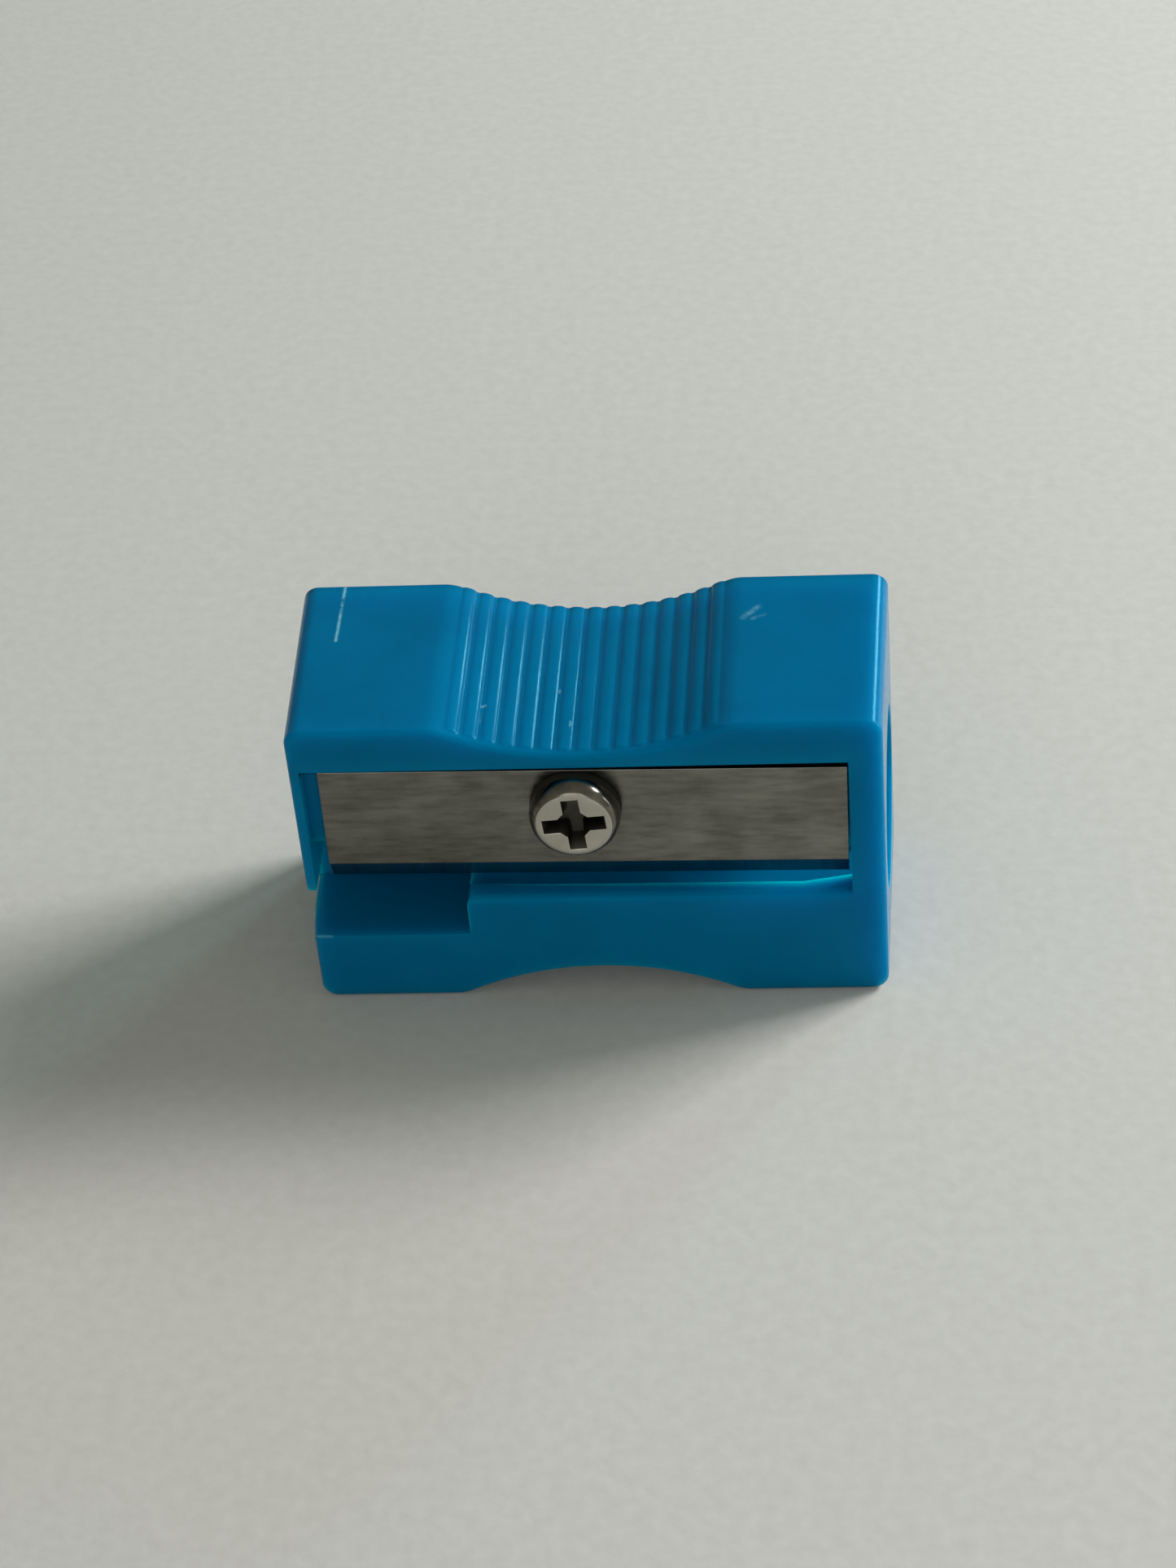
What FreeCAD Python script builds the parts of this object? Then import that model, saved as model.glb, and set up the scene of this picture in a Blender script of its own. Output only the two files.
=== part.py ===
import FreeCAD, Part
import os
import Sketcher
from FreeCAD import Vector

# Hand-held block pencil sharpener: a moulded body with ribbed waists, a flat blade and its screw.
# It stands on its lower grip. +X points out of the pencil bore, -Y out of the blade face, +Z up.
# The origin is under the middle of the assembly, on the surface that it stands on.

doc = FreeCAD.newDocument("block_sharpener")

# Driving dimensions, in millimetres and degrees.
SIZES = {
    # pencil bore and cone
    "bore_radius": 4.0,
    "cone_half_angle": 11.0,
    "entry_length": 3.55,
    "tip_radius": 0.5,
    # walls round the bore and the blade
    "base_wall": 2.45,
    "back_wall": 0.74,
    "top_wall": 2.12,
    "entry_wall": 1.45,
    "rail_thickness": 0.45,
    # blade
    "blade_length": 22.3,
    "blade_width": 6.15,
    "blade_thickness": 0.5,
    "blade_sink": 0.22,
    "bevel_width": 1.05,
    "hole_from_blade_end": 10.83,
    "hole_from_blade_edge": 4.13,
    "blade_skew": 0.6,
    "edge_lift": 0.02,
    # slack round the blade
    "blade_top_gap": 0.26,
    "blade_end_gap": 0.08,
    "blade_tail_gap": 0.72,
    # shaving slot and pocket
    "lip_drop": 0.78,
    "slot_height": 1.7,
    "slot_corner_radius": 0.4,
    "pocket_length": 6.9,
    "pocket_depth": 4.2,
    "pocket_floor_height": 3.62,
    "pocket_roof_height": 8.5,
    "rail_end_height": 6.3,
    # outside of the body
    "end_draft": 0.3,
    "corner_radius": 0.7,
    "face_edge_radius": 0.2,
    "waist_radius": 13.2,
    "waist_depth": 1.5,
    "shoulder_radius": 1.8,
    "rib_count": 15,
    "rib_pitch": 0.8,
    "rib_width": 0.64,
    "rib_height": 0.1,
    "rib_root": 0.2,
    "rib_margin": 0.45,
    # screw
    "shaft_radius": 1.0,
    "shaft_length": 5.5,
    "shaft_point": 0.6,
    "shaft_tip_radius": 0.5,
    "head_radius": 1.95,
    "head_face_radius": 1.72,
    "head_height": 1.25,
    "head_side_height": 0.5,
    "cross_length": 2.6,
    "cross_width": 0.66,
    "cross_depth": 0.7,
    "cross_turn": 5.0,
    "shaft_clearance": 0.05,
    "blade_hole_clearance": 0.1,
    "hole_spare": 0.5,
}

sheet = doc.addObject("Spreadsheet::Sheet", "sizes")
for row, (alias, value) in enumerate(SIZES.items(), start=1):
    sheet.set(f"A{row}", alias)
    sheet.set(f"B{row}", str(value))
    sheet.setAlias(f"B{row}", alias)
doc.recompute()

# Sizes that follow from the driving dimensions, as expressions on the sheet.
SEAT = "(sizes.blade_sink + sizes.blade_thickness)"
LENGTH = ("(sizes.rail_thickness + sizes.blade_tail_gap + sizes.blade_length"
          " + sizes.blade_end_gap + sizes.entry_wall)")
HALF = f"({LENGTH} / 2)"
DEPTH = (f"({SEAT} + 2 * sizes.bore_radius / cos(sizes.cone_half_angle * 1 deg)"
         " + sizes.entry_length * tan(sizes.cone_half_angle * 1 deg) + sizes.back_wall)")
BORE_Z = "(sizes.base_wall + sizes.bore_radius)"
EDGE_Z = f"({BORE_Z} + sizes.edge_lift)"
RIM_Z = f"({EDGE_Z} + sizes.blade_width + sizes.blade_top_gap)"
HEIGHT = f"({RIM_Z} + sizes.top_wall)"
LIP_Z = f"({BORE_Z} - sizes.lip_drop)"
# the screw head stands proud of the front face, and the whole depth is centred on the origin
FRONT = f"(({DEPTH} - sizes.head_height + sizes.blade_sink) / 2)"
BACK = f"({DEPTH} - {FRONT})"
RECESS_LEFT = f"(sizes.rail_thickness - {HALF})"
RECESS_RIGHT = f"({HALF} - sizes.entry_wall)"
SCREW_X = f"({RECESS_LEFT} + sizes.blade_tail_gap + sizes.hole_from_blade_end)"
SCREW_Z = f"({EDGE_Z} + sizes.hole_from_blade_edge)"
POCKET_RIGHT = f"(sizes.pocket_length - {HALF})"
# the cone's front line lies in the plane of the blade's seat, so its axis leans by the half angle
APEX_X = (f"({HALF} - sizes.entry_length"
          " - sizes.bore_radius / sin(sizes.cone_half_angle * 1 deg))")
APEX_Y = f"({SEAT} - {FRONT})"
SLOPE = "tan(sizes.cone_half_angle * 1 deg)"
CONE_LENGTH = f"(sizes.bore_radius / {SLOPE})"


def number(expression):
    """Value of an expression on the sheet, as a plain number."""
    value = sheet.evalExpression(expression)
    return float(getattr(value, "Value", value))


def new_body(label):
    body = doc.addObject("PartDesign::Body", label)
    body.Label = label
    return body


def new_sketch(body, name, role, offset, turn="0"):
    """Sketch on one of the body's origin planes, moved by offset and turned in its own plane."""
    sketch = body.newObject("Sketcher::SketchObject", name)
    plane = next(item for item in body.Origin.OriginFeatures if item.Role == role)
    sketch.AttachmentSupport = [(plane, "")]
    sketch.MapMode = "FlatFace"
    for axis, expression in zip("xyz", offset):
        sketch.setExpression(f"AttachmentOffset.Base.{axis}", expression)
    sketch.setExpression("AttachmentOffset.Rotation.Angle", turn)
    return sketch


def bind(sketch, constraint, name, expression):
    index = sketch.addConstraint(constraint)
    sketch.renameConstraint(index, name)
    sketch.setExpression(f"Constraints.{name}", expression)


def pin_point(sketch, geometry, end, name, x, y):
    """Hold one end of a sketch line or arc at x, y from the sketch's origin."""
    for kind, tag, expression in (("DistanceX", "x", x), ("DistanceY", "y", y)):
        constraint = Sketcher.Constraint(kind, -1, 1, geometry, end, number(expression))
        bind(sketch, constraint, f"{name}_{tag}", expression)


def first_end(sketch, geometry, point):
    """1 or 2, the end of a sketch edge that lies at point. A sketch arc always runs one way round."""
    start = sketch.getPoint(geometry, 1)
    stop = sketch.getPoint(geometry, 2)
    return 1 if start.distanceToPoint(point) < stop.distanceToPoint(point) else 2


def draw_outline(sketch, corners, arcs=None):
    """Closed outline through corners. arcs maps a side's number to its radius and its bulge."""
    arcs = arcs or {}
    points = [Vector(number(x), number(y), 0) for x, y in corners]
    for index, start in enumerate(points):
        stop = points[(index + 1) % len(points)]
        if index in arcs:
            middle = (start + stop) / 2
            side = Vector(stop.y - start.y, start.x - stop.x, 0).normalize()
            bulge = number(arcs[index][1])
            curve = Part.Arc(start, middle + side * bulge, stop)
            sketch.addGeometry(curve, False)
        else:
            sketch.addGeometry(Part.LineSegment(start, stop), False)
    for index, (x, y) in enumerate(corners):
        pin_point(sketch, index, first_end(sketch, index, points[index]), f"corner_{index}", x, y)
    for index in range(len(corners)):
        following = (index + 1) % len(corners)
        last = 3 - first_end(sketch, index, points[index])
        first = first_end(sketch, following, points[following])
        sketch.addConstraint(Sketcher.Constraint("Coincident", index, last, following, first))
    for index, (radius, _) in arcs.items():
        constraint = Sketcher.Constraint("Radius", index, number(radius))
        bind(sketch, constraint, f"side_{index}_radius", radius)


def draw_circle(sketch, name, x, y, radius):
    centre = Vector(number(x), number(y), 0)
    circle = Part.Circle(centre, Vector(0, 0, 1), number(radius))
    index = sketch.addGeometry(circle, False)
    pin_point(sketch, index, 3, name, x, y)
    constraint = Sketcher.Constraint("Radius", index, number(radius))
    bind(sketch, constraint, f"{name}_radius", radius)


def extrude(body, kind, name, sketch, length, reverse=False, midplane=False):
    """Pad or Pocket of a sketch over a length given as an expression."""
    feature = body.newObject(f"PartDesign::{kind}", name)
    feature.Profile = sketch
    feature.setExpression("Length", length)
    feature.Reversed = reverse
    feature.Midplane = midplane
    doc.recompute()
    return feature


def revolve(body, kind, name, sketch, axis):
    feature = body.newObject(f"PartDesign::{kind}", name)
    feature.Profile = sketch
    feature.ReferenceAxis = (sketch, [axis])
    feature.Angle = 360
    doc.recompute()
    return feature


def round_edges(body, name, base, radius, chosen):
    """Fillet on the edges of base whose ends and middle all satisfy chosen."""
    names = []
    for index, edge in enumerate(base.Shape.Edges, start=1):
        middle = edge.valueAt((edge.FirstParameter + edge.LastParameter) / 2)
        points = [vertex.Point for vertex in edge.Vertexes] + [middle]
        if all(chosen(point) for point in points):
            names.append(f"Edge{index}")
    fillet = body.newObject("PartDesign::Fillet", name)
    fillet.Base = (base, names)
    fillet.setExpression("Radius", radius)
    doc.recompute()
    return fillet


TOLERANCE = 0.001


def near(value, expression):
    return abs(value - number(expression)) < TOLERANCE


# Body: a block that grows a little towards the back, as it draws out of its mould
body = new_body("sharpener_body")
ON_FRONT = ("0", "0", FRONT)

plan = new_sketch(body, "block_plan", "XY_Plane", ("0", "0", "0"))
draw_outline(plan, [
    (f"-{HALF}", f"-{FRONT}"),
    (HALF, f"-{FRONT}"),
    (f"{HALF} + sizes.end_draft", BACK),
    (f"-{HALF} - sizes.end_draft", BACK),
])
block = extrude(body, "Pad", "block", plan, HEIGHT)


def at_end_corner(point):
    outside = abs(point.x) > number(HALF) - TOLERANCE
    return outside and (near(point.z, "0") or near(point.z, HEIGHT))


corners = round_edges(body, "end_corners", block, "sizes.corner_radius", at_end_corner)

# Finger grips: one shallow round waist in the top and one in the bottom, with soft shoulders
WAIST_TOP = f"({HEIGHT} + sizes.waist_radius - sizes.waist_depth)"
WAIST_BASE = "(sizes.waist_depth - sizes.waist_radius)"
waist_sketch = new_sketch(body, "waist_circles", "XZ_Plane", ("0", "0", "0"))
draw_circle(waist_sketch, "top_waist", "0", WAIST_TOP, "sizes.waist_radius")
draw_circle(waist_sketch, "base_waist", "0", WAIST_BASE, "sizes.waist_radius")
waists = extrude(body, "Pocket", "waists", waist_sketch, f"2 * {DEPTH}", midplane=True)

WAIST_HALF = ("sqrt(sizes.waist_radius ^ 2"
              " - (sizes.waist_radius - sizes.waist_depth) ^ 2)")


def at_shoulder(point):
    return near(abs(point.x), WAIST_HALF) and (near(point.z, "0") or near(point.z, HEIGHT))


shoulders = round_edges(body, "shoulders", waists, "sizes.shoulder_radius", at_shoulder)


def on_front_face(point):
    return near(point.y, f"-{FRONT}")


round_edges(body, "soft_front_edge", shoulders, "sizes.face_edge_radius", on_front_face)

# Ribs: round ridges across each waist, the middle one at its lowest place
RIB_SPAN = "(sizes.rib_count - 1) * sizes.rib_pitch / sizes.waist_radius * 1 rad"
RIB_ROUND = "(sizes.rib_height / 2 + sizes.rib_width ^ 2 / (8 * sizes.rib_height))"
for grip, centre, down in (("top", WAIST_TOP, "-"), ("base", WAIST_BASE, "")):
    rib_sketch = new_sketch(body, f"{grip}_rib_section", "XZ_Plane",
                            ("0", centre, f"{FRONT} - sizes.rib_margin"), f"-({RIB_SPAN}) / 2")
    foot = f"{down}sizes.waist_radius"
    root = f"{down}(sizes.waist_radius + sizes.rib_root)"
    near_side, far_side = "sizes.rib_width / 2", "-sizes.rib_width / 2"
    if down:
        near_side, far_side = far_side, near_side
    draw_outline(rib_sketch, [
        (near_side, root),
        (far_side, root),
        (far_side, foot),
        (near_side, foot),
    ], {2: (RIB_ROUND, "sizes.rib_height")})
    rib = extrude(body, "Pad", f"{grip}_rib", rib_sketch, f"{DEPTH} - sizes.rib_margin", reverse=True)
    ribs = body.newObject("PartDesign::PolarPattern", f"{grip}_ribs")
    ribs.Originals = [rib]
    ribs.Axis = (rib_sketch, ["N_Axis"])
    ribs.setExpression("Angle", RIB_SPAN)
    ribs.setExpression("Occurrences", "sizes.rib_count")
    body.Tip = ribs
    doc.recompute()

# Blade recess: the blade lies just under the front face, on a flat seat
recess_sketch = new_sketch(body, "recess_outline", "XZ_Plane", ON_FRONT)
draw_outline(recess_sketch, [
    (RECESS_LEFT, LIP_Z),
    (RECESS_RIGHT, LIP_Z),
    (RECESS_RIGHT, RIM_Z),
    (RECESS_LEFT, RIM_Z),
])
recess = extrude(body, "Pocket", "blade_recess", recess_sketch, SEAT)

# Shaving slot: opens the cone to the front between the lip and the cutting edge
slot_sketch = new_sketch(body, "slot_plan", "XY_Plane", ("0", "0", LIP_Z))
draw_outline(slot_sketch, [
    (POCKET_RIGHT, f"-{FRONT}"),
    (RECESS_RIGHT, f"-{FRONT}"),
    (RECESS_RIGHT, f"{APEX_Y} + ({RECESS_RIGHT} - {APEX_X}) * {SLOPE}"),
    (POCKET_RIGHT, f"{APEX_Y} + ({POCKET_RIGHT} - {APEX_X}) * {SLOPE}"),
])
slot = extrude(body, "Pocket", "shaving_slot", slot_sketch, "sizes.slot_height", reverse=True)

# Shaving pocket: round the pencil's point, open to the front and, under the rail, to the end
pocket_sketch = new_sketch(body, "pocket_outline", "XZ_Plane", ON_FRONT)
OUTSIDE = f"-{HALF} - 2 * sizes.end_draft - sizes.rail_thickness"
draw_outline(pocket_sketch, [
    (OUTSIDE, "sizes.pocket_floor_height"),
    (POCKET_RIGHT, "sizes.pocket_floor_height"),
    (POCKET_RIGHT, "sizes.pocket_roof_height"),
    (RECESS_LEFT, "sizes.pocket_roof_height"),
    (RECESS_LEFT, "sizes.rail_end_height"),
    (OUTSIDE, "sizes.rail_end_height"),
])
pocket = extrude(body, "Pocket", "shaving_pocket", pocket_sketch, "sizes.pocket_depth")


def at_lip_end(point):
    return near(point.z, LIP_Z) and (near(point.x, POCKET_RIGHT) or near(point.x, RECESS_RIGHT))


round_edges(body, "lip_ends", pocket, "sizes.slot_corner_radius", at_lip_end)

# Pencil bore: a short cylinder and the long cone that guides the pencil under the blade
bore_sketch = new_sketch(body, "bore_profile", "XY_Plane", (APEX_X, APEX_Y, BORE_Z),
                         "sizes.cone_half_angle * 1 deg")
BORE_END = f"{CONE_LENGTH} + sizes.entry_length + sizes.bore_radius"
draw_outline(bore_sketch, [
    (f"sizes.tip_radius / {SLOPE}", "0"),
    (BORE_END, "0"),
    (BORE_END, "sizes.bore_radius"),
    (CONE_LENGTH, "sizes.bore_radius"),
    (f"sizes.tip_radius / {SLOPE}", "sizes.tip_radius"),
])
bore = revolve(body, "Groove", "pencil_bore", bore_sketch, "H_Axis")

# Screw hole: blind, into the thick part of the body behind the seat
hole_sketch = new_sketch(body, "screw_hole_circle", "XZ_Plane", ON_FRONT)
draw_circle(hole_sketch, "screw_hole", SCREW_X, SCREW_Z, "sizes.shaft_radius + sizes.shaft_clearance")
hole = extrude(body, "Pocket", "screw_hole", hole_sketch,
               "sizes.blade_sink + sizes.shaft_length + sizes.hole_spare")

# Blade: a flat steel strip, ground to a bevel along its lower edge, turned a little in its slack
blade = new_body("blade")
section = new_sketch(blade, "blade_section", "YZ_Plane", ("0", "0", "-sizes.hole_from_blade_end"))
BLADE_TOP = "sizes.blade_width - sizes.hole_from_blade_edge"
draw_outline(section, [
    ("0", "-sizes.hole_from_blade_edge"),
    ("0", BLADE_TOP),
    ("-sizes.blade_thickness", BLADE_TOP),
    ("-sizes.blade_thickness", "sizes.bevel_width - sizes.hole_from_blade_edge"),
])
strip = extrude(blade, "Pad", "ground_strip", section, "sizes.blade_length")
blade_hole_sketch = new_sketch(blade, "blade_hole_circle", "XZ_Plane", ("0", "0", "0"))
draw_circle(blade_hole_sketch, "blade_hole", "0", "0", "sizes.shaft_radius + sizes.blade_hole_clearance")
blade_hole = extrude(blade, "Pocket", "blade_hole", blade_hole_sketch,
                     "4 * sizes.blade_thickness", midplane=True)
blade.setExpression("Placement.Base.x", SCREW_X)
blade.setExpression("Placement.Base.y", APEX_Y)
blade.setExpression("Placement.Base.z", SCREW_Z)
blade.Placement.Rotation = FreeCAD.Rotation(Vector(0, 1, 0), number("sizes.blade_skew"))

# Screw: a pan head with a cross recess on a plain shaft with a blunt point
screw = new_body("blade_screw")
profile = new_sketch(screw, "screw_profile", "XY_Plane", ("0", "0", "0"))
HEAD_ROUND = ("(((sizes.head_radius - sizes.head_face_radius) ^ 2"
              " + (sizes.head_height - sizes.head_side_height) ^ 2)"
              " / (2 * (sizes.head_radius - sizes.head_face_radius)))")
HEAD_BULGE = (f"{HEAD_ROUND} - sqrt({HEAD_ROUND} ^ 2"
              " - ((sizes.head_radius - sizes.head_face_radius) ^ 2"
              " + (sizes.head_height - sizes.head_side_height) ^ 2) / 4)")
draw_outline(profile, [
    ("0", "-sizes.head_height"),
    ("sizes.head_face_radius", "-sizes.head_height"),
    ("sizes.head_radius", "-sizes.head_side_height"),
    ("sizes.head_radius", "0"),
    ("sizes.shaft_radius", "0"),
    ("sizes.shaft_radius", "sizes.shaft_length - sizes.shaft_point"),
    ("sizes.shaft_tip_radius", "sizes.shaft_length"),
    ("0", "sizes.shaft_length"),
], {1: (HEAD_ROUND, HEAD_BULGE)})
turned = revolve(screw, "Revolution", "turned_screw", profile, "V_Axis")
cross_sketch = new_sketch(screw, "cross_outline", "XZ_Plane", ("0", "0", "sizes.head_height"),
                          "sizes.cross_turn * 1 deg")
ARM = "sizes.cross_length / 2"
SIDE = "sizes.cross_width / 2"
draw_outline(cross_sketch, [
    (ARM, f"-{SIDE}"), (ARM, SIDE), (SIDE, SIDE), (SIDE, ARM),
    (f"-{SIDE}", ARM), (f"-{SIDE}", SIDE), (f"-{ARM}", SIDE), (f"-{ARM}", f"-{SIDE}"),
    (f"-{SIDE}", f"-{SIDE}"), (f"-{SIDE}", f"-{ARM}"), (SIDE, f"-{ARM}"), (SIDE, f"-{SIDE}"),
])
cross = extrude(screw, "Pocket", "cross_recess", cross_sketch, "sizes.cross_depth")
screw.setExpression("Placement.Base.x", SCREW_X)
screw.setExpression("Placement.Base.y", f"sizes.blade_sink - {FRONT}")
screw.setExpression("Placement.Base.z", SCREW_Z)
doc.recompute()

# Every feature must have built, and every cut must have taken material away.
for item in doc.Objects:
    if "Invalid" in item.State or "Error" in item.State:
        raise RuntimeError(f"{item.Name} failed: {item.State}")
CUTS = (waists, recess, slot, pocket, bore, hole, blade_hole, cross)
for cut in CUTS:
    removed = cut.BaseFeature.Shape.Volume - cut.Shape.Volume
    print(f"{cut.Name} removes {removed:.2f} mm3")
    if removed <= 0:
        raise RuntimeError(f"{cut.Name} cuts nothing")

os.makedirs("parts", exist_ok=True)
for node in (body, blade, screw):
    shape = node.Shape
    if shape.isNull() or not shape.isValid() or len(shape.Solids) != 1:
        raise RuntimeError(f"{node.Label} is not one valid solid")
    box = shape.BoundBox
    print(f"{node.Label}: {shape.Volume:.2f} mm3, x {box.XMin:.2f} to {box.XMax:.2f},"
          f" y {box.YMin:.2f} to {box.YMax:.2f}, z {box.ZMin:.2f} to {box.ZMax:.2f}")
    shape.exportStep(f"parts/{node.Label}.step")
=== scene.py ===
# %% [markdown]
# # A hand-held block pencil sharpener
#
# This lesson dresses a small sharpener: a moulded blue block, a flat steel blade and the screw that
# holds it. The solids are already packed, so the first cell loads them as a fixed frame. The block, the
# blade and the screw made here each take the place of one solid, in metres, at the same spot, and the
# screw's thread is added to them.

# %% Load the frame
import math

import bmesh
import bpy
from mathutils import Matrix, Vector


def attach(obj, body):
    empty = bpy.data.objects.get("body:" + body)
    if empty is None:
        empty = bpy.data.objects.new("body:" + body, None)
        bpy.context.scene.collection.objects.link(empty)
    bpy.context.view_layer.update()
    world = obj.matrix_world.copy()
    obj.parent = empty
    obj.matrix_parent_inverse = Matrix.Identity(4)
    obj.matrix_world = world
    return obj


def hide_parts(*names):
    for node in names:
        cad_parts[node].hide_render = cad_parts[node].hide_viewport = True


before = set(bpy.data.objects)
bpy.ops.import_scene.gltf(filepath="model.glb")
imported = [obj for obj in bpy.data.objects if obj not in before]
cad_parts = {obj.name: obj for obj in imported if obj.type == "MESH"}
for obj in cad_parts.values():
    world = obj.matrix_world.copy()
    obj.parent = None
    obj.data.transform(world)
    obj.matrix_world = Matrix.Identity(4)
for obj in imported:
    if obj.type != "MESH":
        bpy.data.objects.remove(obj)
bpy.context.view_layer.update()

MM = 0.001

# %% [markdown]
# ## The camera
#
# The picture looks down on the blade face from a little to the right, with the camera held slightly
# askew. A camera can be aimed with a constraint, but a matrix built from three directions also takes the
# roll, and it stays readable: right, up, and back towards the lens.

# %% Camera
PICTURE_HEIGHT_PX = 1927
FOCAL_LENGTH_PX = 4374.6
SENSOR_MM = 36.0
NEAREST_SEEN = 10 * MM
LOOK_AT = Vector((-0.466, 0.515, 7.714)) * MM
VIEW_DISTANCE = 155.91 * MM
VIEW_TURN = math.radians(6.731)
VIEW_RISE = math.radians(39.518)
VIEW_ROLL = math.radians(-5.403)

towards_camera = Vector((
    math.sin(VIEW_TURN) * math.cos(VIEW_RISE),
    -math.cos(VIEW_TURN) * math.cos(VIEW_RISE),
    math.sin(VIEW_RISE),
))
level_right = Vector((0, 0, 1)).cross(towards_camera).normalized()
level_up = towards_camera.cross(level_right)
camera_right = level_right * math.cos(VIEW_ROLL) + level_up * math.sin(VIEW_ROLL)
camera_up = level_up * math.cos(VIEW_ROLL) - level_right * math.sin(VIEW_ROLL)
camera_turn = Matrix((camera_right, camera_up, towards_camera)).transposed().to_4x4()

camera_data = bpy.data.cameras.new("camera")
camera_data.sensor_width = SENSOR_MM
camera_data.lens = FOCAL_LENGTH_PX * SENSOR_MM / PICTURE_HEIGHT_PX
camera_data.clip_start = NEAREST_SEEN
camera = bpy.data.objects.new("camera", camera_data)
camera.matrix_world = Matrix.Translation(LOOK_AT + towards_camera * VIEW_DISTANCE) @ camera_turn
bpy.context.scene.collection.objects.link(camera)
bpy.context.scene.camera = camera
print(f"camera lens {camera_data.lens:.1f} mm")

# %% [markdown]
# ## Helpers for meshes and nodes
#
# A few small helpers keep the later cells short. One turns a bmesh into an object at the origin, with its
# place in its mesh. One evaluates an object with its modifiers and keeps the plain result. The others add
# a node and set or link its inputs in a single call. Nodes could be wired one line at a time, but then
# the plumbing would hide the idea.

# %% Mesh helpers
def object_from(bm, name):
    """Object at the origin from a bmesh, which is used up."""
    mesh = bpy.data.meshes.new(name)
    bm.to_mesh(mesh)
    bm.free()
    made = bpy.data.objects.new(name, mesh)
    bpy.context.scene.collection.objects.link(made)
    return made


def keep_result(made):
    """Replace an object's mesh by what its modifiers give, and remove them."""
    view = bpy.context.evaluated_depsgraph_get()
    result = bpy.data.meshes.new_from_object(made.evaluated_get(view), depsgraph=view)
    made.modifiers.clear()
    old = made.data
    made.data = result
    result.name = made.name
    bpy.data.meshes.remove(old)


print("mesh helpers ready")


# %% Node helpers
def fill_input(tree, socket, value):
    """Link a socket to another one, or set it to a value."""
    if isinstance(value, bpy.types.NodeSocket):
        tree.links.new(value, socket)
    else:
        socket.default_value = value


def add_node(tree, kind, inputs=None, **settings):
    """A node with its settings, and its inputs by name or number set to a value or another socket."""
    made = tree.nodes.new(kind)
    for setting, value in settings.items():
        setattr(made, setting, value)
    for key, value in (inputs or {}).items():
        fill_input(tree, made.inputs[key], value)
    return made


def maths(tree, operation, *values):
    """Output of a Math node."""
    inputs = dict(enumerate(values))
    return add_node(tree, "ShaderNodeMath", inputs, operation=operation).outputs[0]


def vector_maths(tree, operation, inputs, output="Vector"):
    """Output of a Vector Math node."""
    return add_node(tree, "ShaderNodeVectorMath", inputs, operation=operation).outputs[output]


print("node helpers ready")


# %% [markdown]
# ## Helpers for materials
#
# A finish is mostly a colour, a gloss and a fine relief that change a little from place to place. They
# could come from painted images, but noise on Object coordinates needs no unwrapping and has the same
# scale on every piece: the coordinates are in metres, so a noise scale of 1000 has lumps of about 1 mm.

# %% Material helpers
def new_material(name):
    """Material with nodes. Gives the material, its tree and its shader."""
    material = bpy.data.materials.new(name)
    material.use_nodes = True
    shader = material.node_tree.nodes["Principled BSDF"]
    return material, material.node_tree, shader


def object_place(tree):
    """Place on the object, in metres."""
    return add_node(tree, "ShaderNodeTexCoord").outputs["Object"]


def noise(tree, where, scale, detail=2.0):
    """Noise from 0 to 1 at a place."""
    made = add_node(tree, "ShaderNodeTexNoise", {"Vector": where, "Scale": scale, "Detail": detail})
    return made.outputs[0]


def ramp_between(tree, factor, low, high, low_at, high_at):
    """Colour that goes from low to high while the factor goes from low_at to high_at."""
    ramp = add_node(tree, "ShaderNodeValToRGB", {0: factor})
    first, last = ramp.color_ramp.elements
    first.position = low_at
    first.color = low
    last.position = high_at
    last.color = high
    return ramp.outputs[0]


def range_between(tree, value, low, high):
    """Value from 0 to 1 spread over low to high."""
    spread = add_node(tree, "ShaderNodeMapRange", {"Value": value, "To Min": low, "To Max": high})
    return spread.outputs[0]


def share_of(tree, value, start, stop):
    """How far a value has come from start to stop, held between 0 and 1."""
    share = add_node(tree, "ShaderNodeMapRange", {"Value": value, "From Min": start, "From Max": stop})
    return share.outputs[0]


def relief(tree, shader, height, strength, distance):
    """Bump on a shader from a height."""
    bump = add_node(tree, "ShaderNodeBump", {"Strength": strength, "Distance": distance, "Height": height})
    tree.links.new(bump.outputs[0], shader.inputs["Normal"])


print("material helpers ready")


# %% [markdown]
# ## Scratches, specks and a painted shadow
#
# A sharpener that has been used is never even. It has a scratch and a few scuffs on top, and specks among
# the ribs. The gap above the blade gets a painted shadow, a near-black line in the colour. Each of these
# lies along a line, so its place can be worked out instead of painted on an image: how far is this point
# from the line? The answer, broken up by a fine noise, is a mask that mixes one colour into another.

# %% Marks
BREAK_START = 0.3
BREAK_STOP = 0.6


def near_line(tree, where, start, stop, reach):
    """1 on the line from start to stop, in millimetres, falling to 0 at reach from it."""
    start = Vector(start) * MM
    run = Vector(stop) * MM - start
    way = run.normalized()
    from_start = vector_maths(tree, "SUBTRACT", {0: where, 1: start})
    along = vector_maths(tree, "DOT_PRODUCT", {0: from_start, 1: way}, "Value")
    held = maths(tree, "MINIMUM", maths(tree, "MAXIMUM", along, 0.0), run.length)
    foot = vector_maths(tree, "SCALE", {0: way, "Scale": held})
    off = vector_maths(tree, "DISTANCE", {0: from_start, 1: foot}, "Value")
    return maths(tree, "SUBTRACT", 1.0, share_of(tree, off, 0.0, reach * MM))


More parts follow.
